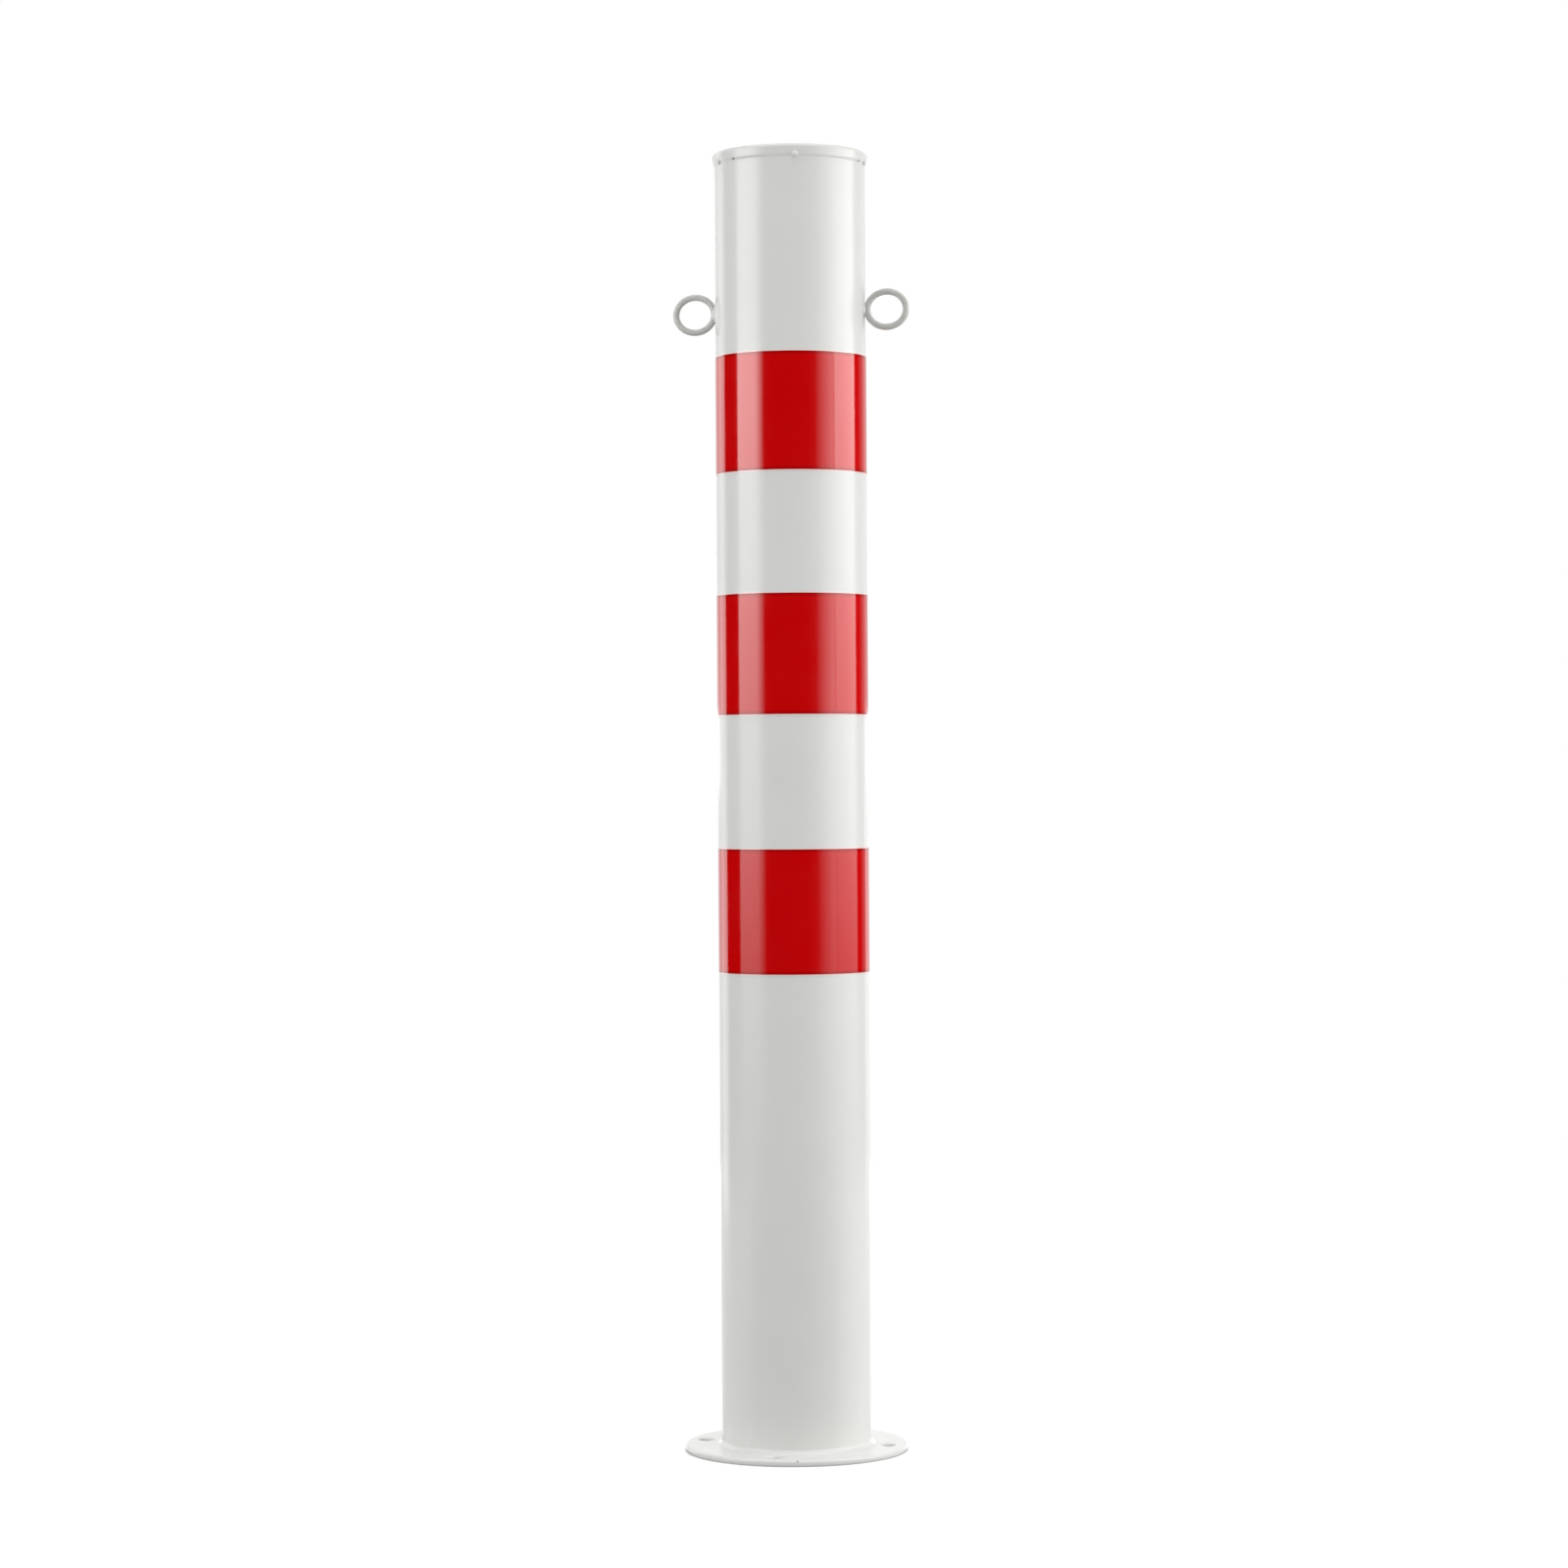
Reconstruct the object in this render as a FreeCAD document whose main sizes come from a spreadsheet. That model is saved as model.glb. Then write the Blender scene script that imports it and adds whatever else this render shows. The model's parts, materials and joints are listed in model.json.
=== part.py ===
import FreeCAD, Part
import math
import os

import Sketcher

# Fixed steel bollard: a welded tube on a round anchor plate, closed by a pressed cap,
# with a chain eye on each side and three bands of red film wrapped round it.
# Millimetres, +Z up. The origin is the centre of the plate's underside, on the ground,
# and the right-hand chain eye points along +X.

SIZES = {
    # Tube
    "tube_outside": 114,
    "tube_wall": 3,
    "tube_length": 976,
    # Anchor plate: how far it stands out past the tube, and its holes
    "plate_overhang": 28,
    "plate_thickness": 5,
    "plate_top_round": 1.5,
    "plate_foot_round": 0.8,
    "hole_diameter": 11,
    "hole_inset": 15,
    "hole_count": 4,
    # Fillet weld round the tube's foot, with a slightly hollow face
    "foot_weld_leg": 3,
    "foot_weld_face_radius": 6,
    # Pressed cap over the tube's end
    "cap_sheet": 1.5,
    "cap_clearance": 0.3,
    "cap_skirt": 8,
    "cap_inside_bend": 1,
    # Tack welds along the cap's lower edge, turned from the front towards +X
    "tack_count": 5,
    "tack_azimuth": 16.7,
    "tack_width": 5.6,
    "tack_height": 5.8,
    "tack_rise": 2.1,
    "tack_proud": 1,
    # Chain eyes: round bar bent to a link, measured down from the tube's upper end
    "eye_bar": 4.8,
    "eye_inside": 21.9,
    "eye_straight": 3.1,
    "eye_drop": 118,
    "eye_root_gap": 0.2,
    # Welds at the eyes' roots, laid by hand, so the left one is the fuller
    "left_eye_weld_height": 16,
    "left_eye_weld_width": 10,
    "left_eye_weld_reach": 4.4,
    "right_eye_weld_height": 12,
    "right_eye_weld_width": 8,
    "right_eye_weld_reach": 2.6,
    # Film bands on their glue, counted down from the tube's upper end
    "film_glue": 0.05,
    "film_thickness": 0.3,
    "film_lap": 12,
    "upper_band_drop": 152.1,
    "upper_band_height": 90.3,
    "middle_band_gap": 90.2,
    "middle_band_height": 92.3,
    "lower_band_gap": 99.2,
    "lower_band_height": 95.3,
}

# Places and sizes that follow from the sheet
TUBE_RADIUS = "Sizes.tube_outside / 2"
TUBE_TOP = "(Sizes.plate_thickness + Sizes.tube_length)"
PLATE_RADIUS = f"({TUBE_RADIUS} + Sizes.plate_overhang)"
CAP_RADIUS = f"({TUBE_RADIUS} + Sizes.cap_clearance + Sizes.cap_sheet)"
CAP_HEIGHT = "(Sizes.cap_sheet + Sizes.cap_skirt)"
CAP_FOOT = f"({TUBE_TOP} - Sizes.cap_skirt)"
EYE_BEND = "(Sizes.eye_inside + Sizes.eye_bar) / 2"
EYE_CENTRE = (f"({TUBE_RADIUS} + Sizes.eye_root_gap + Sizes.eye_bar"
              " + (Sizes.eye_inside + Sizes.eye_straight) / 2)")
EYE_LEVEL = f"({TUBE_TOP} - Sizes.eye_drop)"
FILM_RADIUS = f"({TUBE_RADIUS} + Sizes.film_glue)"
UPPER_BAND_FOOT = f"({TUBE_TOP} - Sizes.upper_band_drop - Sizes.upper_band_height)"
MIDDLE_BAND_FOOT = f"({UPPER_BAND_FOOT} - Sizes.middle_band_gap - Sizes.middle_band_height)"
LOWER_BAND_FOOT = f"({MIDDLE_BAND_FOOT} - Sizes.lower_band_gap - Sizes.lower_band_height)"

# Sketcher's own names for a line's ends, a round edge's centre and the sketch's origin
START, END, CENTRE = range(1, 4)
X_AXIS, Y_AXIS = range(-1, -3, -1)
ORIGIN = (X_AXIS, START)
HALF_TURN, FULL_TURN = 180, 360
EDGE_MATCH = 1e-4

doc = FreeCAD.newDocument("Bollard")
sheet = doc.addObject("Spreadsheet::Sheet", "Sizes")
for row, (alias, size) in enumerate(SIZES.items(), start=1):
    sheet.set(f"A{row}", alias)
    sheet.set(f"B{row}", str(size))
    sheet.setAlias(f"B{row}", alias)
doc.recompute()


def number(expression):
    """The value that an expression has with the sheet's sizes."""
    return float(sheet.evalExpression(expression))


def new_body(label):
    body = doc.addObject("PartDesign::Body", label)
    body.Label = label
    return body


def place(item, x="0", y="0", z="0"):
    """Tie an object's place to the sheet."""
    for axis, expression in zip("xyz", (x, y, z)):
        item.setExpression(f"Placement.Base.{axis}", expression)


def sketch_on(body, name, role):
    """A sketch on one of the body's own origin planes."""
    plane = next(feature for feature in body.Origin.OriginFeatures if feature.Role == role)
    sketch = body.newObject("Sketcher::SketchObject", name)
    sketch.AttachmentSupport = [(plane, "")]
    sketch.MapMode = "FlatFace"
    return sketch


def drive(sketch, kind, references, expression):
    """Add a dimension to a sketch and tie it to the sheet."""
    index = sketch.addConstraint(Sketcher.Constraint(kind, *references, number(expression)))
    sketch.setExpression(f"Constraints[{index}]", expression)


def join(sketch, first, first_point, second, second_point):
    sketch.addConstraint(Sketcher.Constraint("Coincident", first, first_point, second, second_point))


def draw_circle(sketch, radius, offset=None, axis=X_AXIS):
    """A circle on the sketch's origin, or offset from it along one of its axes."""
    along_x = axis == X_AXIS
    shift = number(offset) if offset else 0
    centre = FreeCAD.Vector(shift if along_x else 0, 0 if along_x else shift, 0)
    circle = sketch.addGeometry(Part.Circle(centre, FreeCAD.Vector(0, 0, 1), number(radius)))
    if offset:
        sketch.addConstraint(Sketcher.Constraint("PointOnObject", circle, CENTRE, axis))
        drive(sketch, "DistanceX" if along_x else "DistanceY", (*ORIGIN, circle, CENTRE), offset)
    else:
        join(sketch, circle, CENTRE, *ORIGIN)
    drive(sketch, "Radius", (circle,), radius)


def pad(body, sketch, name, length):
    feature = body.newObject("PartDesign::Pad", name)
    feature.Profile = sketch
    feature.setExpression("Length", length)
    doc.recompute()
    return feature


def round_edge(feature, radius, height):
    """The name of a feature's circular edge of this radius at this height in its body."""
    for index, edge in enumerate(feature.Shape.Edges, start=1):
        curve = edge.Curve
        if not isinstance(curve, Part.Circle) or abs(curve.Axis.z) < 0.5:
            continue
        if abs(curve.Radius - radius) < EDGE_MATCH and abs(curve.Center.z - height) < EDGE_MATCH:
            return f"Edge{index}"
    raise RuntimeError(f"{feature.Name} has no edge of radius {radius} at height {height}")


def dress_edge(body, kind, name, base, radius, height, size):
    """A fillet or chamfer on one round edge of the last feature."""
    feature = body.newObject(f"PartDesign::{kind}", name)
    feature.Base = (base, [round_edge(base, number(radius), number(height))])
    feature.setExpression("Radius" if kind == "Fillet" else "Size", size)
    doc.recompute()
    return feature


def make_base_plate():
    body = new_body("base_plate")
    disc_sketch = sketch_on(body, "PlateOutline", "XY_Plane")
    draw_circle(disc_sketch, PLATE_RADIUS)
    disc = pad(body, disc_sketch, "PlateDisc", "Sizes.plate_thickness")
    top = dress_edge(body, "Fillet", "PlateTopRound", disc, PLATE_RADIUS, "Sizes.plate_thickness",
                     "Sizes.plate_top_round")
    blank = dress_edge(body, "Fillet", "PlateFootRound", top, PLATE_RADIUS, "0", "Sizes.plate_foot_round")

    hole_sketch = sketch_on(body, "AnchorHole", "XY_Plane")
    draw_circle(hole_sketch, "Sizes.hole_diameter / 2", offset=f"{PLATE_RADIUS} - Sizes.hole_inset")
    hole = body.newObject("PartDesign::Pocket", "AnchorHoleCut")
    hole.Profile = hole_sketch
    hole.Type = "ThroughAll"
    hole.Reversed = True
    ring = body.newObject("PartDesign::PolarPattern", "AnchorHoles")
    ring.Originals = [hole]
    ring.Axis = (hole_sketch, ["N_Axis"])
    ring.Angle = FULL_TURN
    ring.setExpression("Occurrences", "Sizes.hole_count")
    body.Tip = ring
    doc.recompute()
    if ring.Shape.Volume >= blank.Shape.Volume:
        raise RuntimeError("the anchor holes cut nothing out of the plate")
    return body


def make_post_tube():
    """The post, deburred at its upper end to clear the bend inside the cap."""
    body = new_body("post_tube")
    section = sketch_on(body, "TubeSection", "XY_Plane")
    draw_circle(section, TUBE_RADIUS)
    draw_circle(section, f"{TUBE_RADIUS} - Sizes.tube_wall")
    tube = pad(body, section, "TubeLength", "Sizes.tube_length")
    dress_edge(body, "Chamfer", "TubeDeburr", tube, TUBE_RADIUS, "Sizes.tube_length",
               "Sizes.cap_inside_bend")
    place(body, z="Sizes.plate_thickness")
    return body


def make_foot_weld():
    """Fillet weld between tube and plate, with a hollow face, turned round the post."""
    body = new_body("foot_weld")
    section = sketch_on(body, "WeldSection", "XZ_Plane")
    root = number(TUBE_RADIUS)
    leg = number("Sizes.foot_weld_leg")
    face_radius = number("Sizes.foot_weld_face_radius")
    to_centre = leg / 2 + (face_radius ** 2 / 2 - leg ** 2 / 4) ** 0.5
    middle = to_centre - face_radius / 2 ** 0.5
    corner = FreeCAD.Vector(root, 0, 0)
    toe = FreeCAD.Vector(root + leg, 0, 0)
    head = FreeCAD.Vector(root, leg, 0)
    on_face = FreeCAD.Vector(root + middle, middle, 0)
    foot_line = section.addGeometry(Part.LineSegment(corner, toe))
    wall_line = section.addGeometry(Part.LineSegment(corner, head))
    face = section.addGeometry(Part.Arc(toe, on_face, head))
    ends = [(section.getPoint(face, point), point) for point in (START, END)]
    toe_end, head_end = [point for _, point in sorted(ends, key=lambda end: end[0].y)]
    join(section, foot_line, START, wall_line, START)
    join(section, foot_line, END, face, toe_end)
    join(section, wall_line, END, face, head_end)
    section.addConstraint(Sketcher.Constraint("PointOnObject", foot_line, START, X_AXIS))
    section.addConstraint(Sketcher.Constraint("Horizontal", foot_line))
    section.addConstraint(Sketcher.Constraint("Vertical", wall_line))
    drive(section, "DistanceX", (*ORIGIN, foot_line, START), TUBE_RADIUS)
    drive(section, "DistanceX", (foot_line, START, foot_line, END), "Sizes.foot_weld_leg")
    drive(section, "DistanceY", (wall_line, START, wall_line, END), "Sizes.foot_weld_leg")
    drive(section, "Radius", (face,), "Sizes.foot_weld_face_radius")
    bead = body.newObject("PartDesign::Revolution", "WeldBead")
    bead.Profile = section
    bead.ReferenceAxis = (section, ["V_Axis"])
    bead.Angle = FULL_TURN
    place(body, z="Sizes.plate_thickness")
    return body


def make_top_cap():
    """Pressed pan: a disc with a rounded rim, hollowed from below to an even sheet."""
    body = new_body("top_cap")
    outline = sketch_on(body, "CapOutline", "XY_Plane")
    draw_circle(outline, CAP_RADIUS)
    disc = pad(body, outline, "CapDisc", CAP_HEIGHT)
    rim = dress_edge(body, "Fillet", "CapRim", disc, CAP_RADIUS, CAP_HEIGHT,
                     "Sizes.cap_inside_bend + Sizes.cap_sheet")
    underside = min(range(len(rim.Shape.Faces)), key=lambda i: rim.Shape.Faces[i].CenterOfMass.z)
    pan = body.newObject("PartDesign::Thickness", "CapSheet")
    pan.Base = (rim, [f"Face{underside + 1}"])
    pan.setExpression("Value", "Sizes.cap_sheet")
    pan.Reversed = True
    place(body, z=CAP_FOOT)
    doc.recompute()
    if pan.Shape.Volume >= rim.Shape.Volume / 2:
        raise RuntimeError("the cap was not hollowed from below")
    return body


def make_solid_core(name, radius, foot, height):
    """A plain cylinder that welds are trimmed by."""
    core = doc.addObject("Part::Cylinder", name)
    core.setExpression("Radius", radius)
    core.setExpression("Height", height)
    place(core, z=foot)
    return core


def make_lump(name, turn, level, reach, width, height):
    """A lump of weld metal on the tube, turned from +X, with its seam inside the tube."""
    lump = doc.addObject("Part::Ellipsoid", name)
    lump.setExpression("Radius2", reach)
    lump.setExpression("Radius3", f"{width} / 2")
    lump.setExpression("Radius1", f"{height} / 2")
    lump.setExpression("Placement.Rotation.Angle", f"{turn} + {HALF_TURN}")
    place(lump, x=f"{TUBE_RADIUS} * cos({turn})", y=f"{TUBE_RADIUS} * sin({turn})", z=level)
    return lump


def cut(name, base, tool):
    result = doc.addObject("Part::Cut", name)
    result.Base = base
    result.Tool = tool
    return result


def make_cap_tack_welds(tube_core):
    """Tacks round the cap's lower edge, each lapping from the tube onto the skirt."""
    cap_core = make_solid_core("CapCore", CAP_RADIUS, CAP_FOOT, CAP_HEIGHT)
    core = doc.addObject("Part::Fuse", "CappedTubeCore")
    core.Base = tube_core
    core.Tool = cap_core
    tacks = []
    for index in range(int(number("Sizes.tack_count"))):
        turn = f"(Sizes.tack_azimuth - 90 + {index} * {FULL_TURN} / Sizes.tack_count)"
        lump = make_lump(f"TackLump{index}", turn, f"{CAP_FOOT} + Sizes.tack_rise",
                         "Sizes.cap_clearance + Sizes.cap_sheet + Sizes.tack_proud",
                         "Sizes.tack_width", "Sizes.tack_height")
        tacks.append(cut(f"Tack{index}", lump, core))
    group = doc.addObject("Part::Compound", "cap_tack_welds")
    group.Links = tacks
    return group


def make_chain_eye(label, side):
    """Round bar bent to a closed link: two half turns joined by short straight runs."""
    body = new_body(label)
    path = sketch_on(body, f"{label}_path", "XZ_Plane")
    bend = number(EYE_BEND)
    half = number("Sizes.eye_straight / 2")
    crown, sole = FreeCAD.Vector(0, bend, 0), FreeCAD.Vector(0, -bend, 0)
    lines = []
    for start, end in ((crown, crown + FreeCAD.Vector(half, 0, 0)),
                       (sole + FreeCAD.Vector(half, 0, 0), sole - FreeCAD.Vector(half, 0, 0)),
                       (crown - FreeCAD.Vector(half, 0, 0), crown)):
        lines.append(path.addGeometry(Part.LineSegment(start, end)))
    turns = []
    for direction, quarter in ((1, -90), (-1, 90)):
        circle = Part.Circle(FreeCAD.Vector(direction * half, 0, 0), FreeCAD.Vector(0, 0, 1), bend)
        first, last = math.radians(quarter), math.radians(quarter + HALF_TURN)
        turns.append(path.addGeometry(Part.ArcOfCircle(circle, first, last)))
    near_crown, under, far_crown = lines
    right_turn, left_turn = turns
    join(path, far_crown, END, near_crown, START)
    for line, point, turn in ((near_crown, END, right_turn), (under, START, right_turn),
                              (under, END, left_turn), (far_crown, START, left_turn)):
        path.addConstraint(Sketcher.Constraint("Tangent", line, point, turn, point))
    path.addConstraint(Sketcher.Constraint("Horizontal", near_crown))
    path.addConstraint(Sketcher.Constraint("Horizontal", far_crown))
    path.addConstraint(Sketcher.Constraint("PointOnObject", near_crown, START, Y_AXIS))
    path.addConstraint(Sketcher.Constraint("PointOnObject", right_turn, CENTRE, X_AXIS))
    path.addConstraint(Sketcher.Constraint("PointOnObject", left_turn, CENTRE, X_AXIS))
    drive(path, "DistanceX", (near_crown, START, near_crown, END), "Sizes.eye_straight / 2")
    drive(path, "DistanceX", (far_crown, START, far_crown, END), "Sizes.eye_straight / 2")
    drive(path, "Radius", (right_turn,), EYE_BEND)

    section = sketch_on(body, f"{label}_section", "YZ_Plane")
    draw_circle(section, "Sizes.eye_bar / 2", offset=EYE_BEND, axis=Y_AXIS)
    doc.recompute()
    bar = body.newObject("PartDesign::AdditivePipe", f"{label}_bar")
    bar.Profile = section
    bar.Spine = (path, [f"Edge{index}" for index in range(1, len(path.Shape.Edges) + 1)])
    place(body, x=f"{side} * {EYE_CENTRE}", z=EYE_LEVEL)
    return body


def make_eye_weld(label, side, tube_core, eye):
    """Weld metal in the corner between the tube and the bar of an eye, in sizes of its own."""
    turn = 0 if side > 0 else HALF_TURN
    lump = make_lump(f"{label}_lump", turn, EYE_LEVEL,
                     f"Sizes.{label}_reach", f"Sizes.{label}_width", f"Sizes.{label}_height")
    seated = cut(f"{label}_on_tube", lump, tube_core)
    return cut(label, seated, eye)


def make_band(label, foot, height):
    """Film wrapped once round the tube, its end lapped over its start at the back."""
    body = new_body(label)
    wrap_sketch = sketch_on(body, f"{label}_section", "XY_Plane")
    draw_circle(wrap_sketch, FILM_RADIUS)
    draw_circle(wrap_sketch, f"{FILM_RADIUS} + Sizes.film_thickness")
    pad(body, wrap_sketch, f"{label}_wrap", height)

    lap_sketch = sketch_on(body, f"{label}_lap_section", "XY_Plane")
    half_lap = number("Sizes.film_lap / 2")
    arcs = []
    for radius in (FILM_RADIUS, f"{FILM_RADIUS} + 2 * Sizes.film_thickness"):
        reach = number(radius)
        side_height = (reach ** 2 - half_lap ** 2) ** 0.5
        right = FreeCAD.Vector(half_lap, side_height, 0)
        back = FreeCAD.Vector(0, reach, 0)
        left = FreeCAD.Vector(-half_lap, side_height, 0)
        arc = lap_sketch.addGeometry(Part.Arc(right, back, left))
        join(lap_sketch, arc, CENTRE, *ORIGIN)
        drive(lap_sketch, "Radius", (arc,), radius)
        arcs.append(arc)
    inner, outer = arcs
    lap_sketch.addConstraint(Sketcher.Constraint("Symmetric", outer, START, outer, END, Y_AXIS))
    for point in (START, END):
        line = lap_sketch.addGeometry(
            Part.LineSegment(lap_sketch.getPoint(inner, point), lap_sketch.getPoint(outer, point)))
        join(lap_sketch, line, START, inner, point)
        join(lap_sketch, line, END, outer, point)
        lap_sketch.addConstraint(Sketcher.Constraint("Vertical", line))
    drive(lap_sketch, "DistanceX", (outer, END, outer, START), "Sizes.film_lap")
    pad(body, lap_sketch, f"{label}_lap", height)
    place(body, z=foot)
    return body


def make_bollard():
    tube_core = make_solid_core("TubeCore", TUBE_RADIUS, "Sizes.plate_thickness", "Sizes.tube_length")
    nodes = [
        make_base_plate(),
        make_post_tube(),
        make_foot_weld(),
        make_top_cap(),
        make_cap_tack_welds(tube_core),
        make_band("upper_band", UPPER_BAND_FOOT, "Sizes.upper_band_height"),
        make_band("middle_band", MIDDLE_BAND_FOOT, "Sizes.middle_band_height"),
        make_band("lower_band", LOWER_BAND_FOOT, "Sizes.lower_band_height"),
    ]
    for name, side in (("left", -1), ("right", 1)):
        eye = make_chain_eye(f"{name}_chain_eye", side)
        nodes += [eye, make_eye_weld(f"{name}_eye_weld", side, tube_core, eye)]
    return nodes


def check_and_write(nodes):
    """Stop on anything that failed to build, then write each piece to its own file."""
    doc.recompute()
    failed = [item.Label for item in doc.Objects if {"Invalid", "Error"} & set(item.State)]
    failed += [node.Label for node in nodes if node.Shape.isNull() or not node.Shape.isValid()]
    if failed:
        raise RuntimeError("failed to build: " + ", ".join(failed))
    os.makedirs("parts", exist_ok=True)
    for node in nodes:
        node.Shape.exportStep(f"parts/{node.Label}.step")


check_and_write(make_bollard())
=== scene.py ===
"""Looks of a fixed steel bollard, laid over its CAD model.

The CAD model gives the sizes and places. Each operator stands a finished piece in for one or more of its
solids, with paint, film and weld metal as they look up close, and the last one sets up the studio that shows
the bollard.
"""

import json
import math

import bmesh
import bpy
from bpy.props import FloatProperty, FloatVectorProperty, IntProperty, PointerProperty
from bpy.types import Operator, Panel, PropertyGroup
from mathutils import Matrix, Vector


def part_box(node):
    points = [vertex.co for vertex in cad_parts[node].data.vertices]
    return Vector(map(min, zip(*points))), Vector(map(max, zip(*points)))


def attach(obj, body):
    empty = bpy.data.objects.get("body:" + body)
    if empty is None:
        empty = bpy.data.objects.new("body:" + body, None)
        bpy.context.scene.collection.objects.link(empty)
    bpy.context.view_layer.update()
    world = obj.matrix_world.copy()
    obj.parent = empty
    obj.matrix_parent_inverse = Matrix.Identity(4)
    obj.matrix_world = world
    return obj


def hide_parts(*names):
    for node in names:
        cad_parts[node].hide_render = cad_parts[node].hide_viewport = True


bl_info = {
    "name": "Fixed steel bollard",
    "version": (1, 0, 0),
    "blender": (4, 5, 0),
    "location": "View3D > Sidebar > Bollard",
    "description": "Finishes the CAD model of a fixed steel bollard: paint, film, weld beads and a studio",
    "category": "Object",
}

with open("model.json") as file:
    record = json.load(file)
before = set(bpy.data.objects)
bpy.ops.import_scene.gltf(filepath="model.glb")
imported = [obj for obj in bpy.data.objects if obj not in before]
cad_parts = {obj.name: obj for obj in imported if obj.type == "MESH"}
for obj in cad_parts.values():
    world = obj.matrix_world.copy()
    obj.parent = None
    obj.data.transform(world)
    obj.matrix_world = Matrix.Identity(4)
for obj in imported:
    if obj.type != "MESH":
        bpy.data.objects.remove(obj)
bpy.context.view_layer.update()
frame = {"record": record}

MM = 0.001
BODY = "root"

# Turns, and directions round the post from +X
FULL_TURN = 2 * math.pi
QUARTER_TURN = FULL_TURN / 4
FRONT, BACK = -QUARTER_TURN, QUARTER_TURN

# Places that the CAD model sets
TUBE_FOOT, TUBE_HEAD = (corner.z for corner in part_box("post_tube"))
TUBE_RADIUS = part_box("post_tube")[1].x
PLATE_RADIUS, PLATE_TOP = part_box("base_plate")[1].x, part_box("base_plate")[1].z
CAP_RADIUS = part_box("top_cap")[1].x
CAP_FOOT, CAP_TOP = (corner.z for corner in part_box("top_cap"))
WELD_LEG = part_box("foot_weld")[1].x - TUBE_RADIUS
ANCHORS = next(mount for mount in frame["record"]["mounts"] if mount["name"] == "anchor_bolts")["dims"]

# Flats and steps of the meshes, and the distance within which their points are one
RIM_STEPS, HOLE_STEPS, EDGE_STEPS = 240, 56, 7
LINK_STEPS, BAR_STEPS = 128, 36
FILM_POINTS_ALONG, FILM_POINTS_UP = 385, 5
LUMP_DIVISIONS = 5
FLOOR_STEPS = 96
TOUCHING = 0.001 * MM

# Where the plate lies along the X of an edge's outline, seen from the path that sweeps it
INSIDE, OUTSIDE = -1.0, 1.0

# Noise lies about this middle, and mostly between the other two
NOISE_LOW, NOISE_MIDDLE, NOISE_HIGH = 0.3, 0.5, 0.7

# Smallest and largest lump of weld metal, as shares of its reach, width and height
LEAST_LUMP, MOST_LUMP, LUMP_SEED = (0.95, 0.9, 0.92), (1.0, 1.05, 1.0), 4

# Share of a spot without paint, or of a painted shadow in the cap's seam, that is at full strength, before
# the paint begins
BARE_OR_SHADOW_CORE = 0.5

# Watts per square metre that give a panel a radiance of one
PANEL_WATTS = 4

# Kinds of input that the node trees take
REAL, WHOLE, VECTOR = "NodeSocketFloat", "NodeSocketInt", "NodeSocketVector"


def linear(hex_colour):
    """An sRGB hex value as the linear red, green and blue that shaders take."""
    channels = [int(hex_colour[start:start + 2], 16) / 255 for start in (1, 3, 5)]
    return tuple(c / 12.92 if c <= 0.04045 else ((c + 0.055) / 1.055) ** 2.4 for c in channels)


def length(name, description, millimetres):
    return FloatProperty(name=name, description=description, default=millimetres * MM, precision=5,
                         unit="LENGTH")


def angle(name, description, degrees):
    return FloatProperty(name=name, description=description, default=math.radians(degrees), subtype="ANGLE")


def share(name, description, default):
    return FloatProperty(name=name, description=description, default=default, min=0, max=1, precision=4)


def colour(name, description, hex_colour):
    return FloatVectorProperty(name=name, description=description, default=linear(hex_colour),
                               subtype="COLOR", size=3, min=0, max=1)


class BollardForm(PropertyGroup):
    """Sizes that the CAD model leaves to the finish: edges, laps and weld metal."""

    turn_steps: IntProperty(name="Turn steps", description="Flats round the tube and the cap", default=256)
    bead_steps: IntProperty(name="Bead steps", description="Steps along the foot weld", default=1024)
    tube_wall: length("Tube wall", "Thickness of the tube's steel", 3)
    plate_edge: length("Plate edge", "Radius of the plate's upper edge under its paint", 2.3)
    plate_foot_edge: length("Plate foot edge", "Radius of the plate's lower edge", 1.6)
    hole_edge: length("Hole edge", "Radius that the paint gives the upper edges of the anchor holes", 2.2)
    cap_sheet: length("Cap sheet", "Thickness of the pressed cap", 1.5)
    cap_bend: length("Cap bend", "Outer radius of the cap's rim", 2.5)
    cap_seam: length("Cap seam", "Height of the paint that closes the joint under the cap's skirt", 2.0)
    cap_hem: length("Cap hem", "Radius of the lower edge of the cap's skirt", 0.6)
    cap_hem_turn: angle("Cap hem turn", "How far that edge turns in under the skirt", 30)
    cap_crimp: length("Cap crimp", "How far the skirt's lower edge is pressed in towards the tube", 0.9)
    weld_hollow: length("Weld hollow", "Radius of the foot weld's hollow face", 6)
    weld_root: length("Weld root", "Depth that weld metal reaches into the steel behind it", 0.4)
    ripple_pitch: length("Ripple pitch", "Spacing of the ripples along the foot weld", 3.2)
    ripple_height: length("Ripple height", "Height of those ripples under the paint", 0.04)
    bead_wander: length("Bead wander", "Unevenness along the foot weld", 0.15)
    bead_grain: length("Bead grain", "Width of that unevenness", 14)
    weld_lumps: length("Weld lumps", "Unevenness of the lumps of weld metal", 0.35)
    lump_grain: length("Lump grain", "Width of that unevenness", 3.5)
    tack_count: IntProperty(name="Tacks", description="Tack welds round the cap", default=5)
    tack_turn: angle("Tack turn", "Turn of the first tack from the front, towards +X", 16.7)
    tack_width: length("Tack width", "Width of a tack weld along the cap's edge", 5.6)
    tack_proud: length("Tack proud", "How far a tack weld stands out from the cap's skirt", 1)
    film_lap: length("Film lap", "Overlap of the film's ends at the back", 12)
    film_thickness: length("Film thickness", "Thickness of the film", 0.3)
    film_ramp: length("Film ramp", "Length over which the film climbs onto its own end", 2.5)


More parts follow.
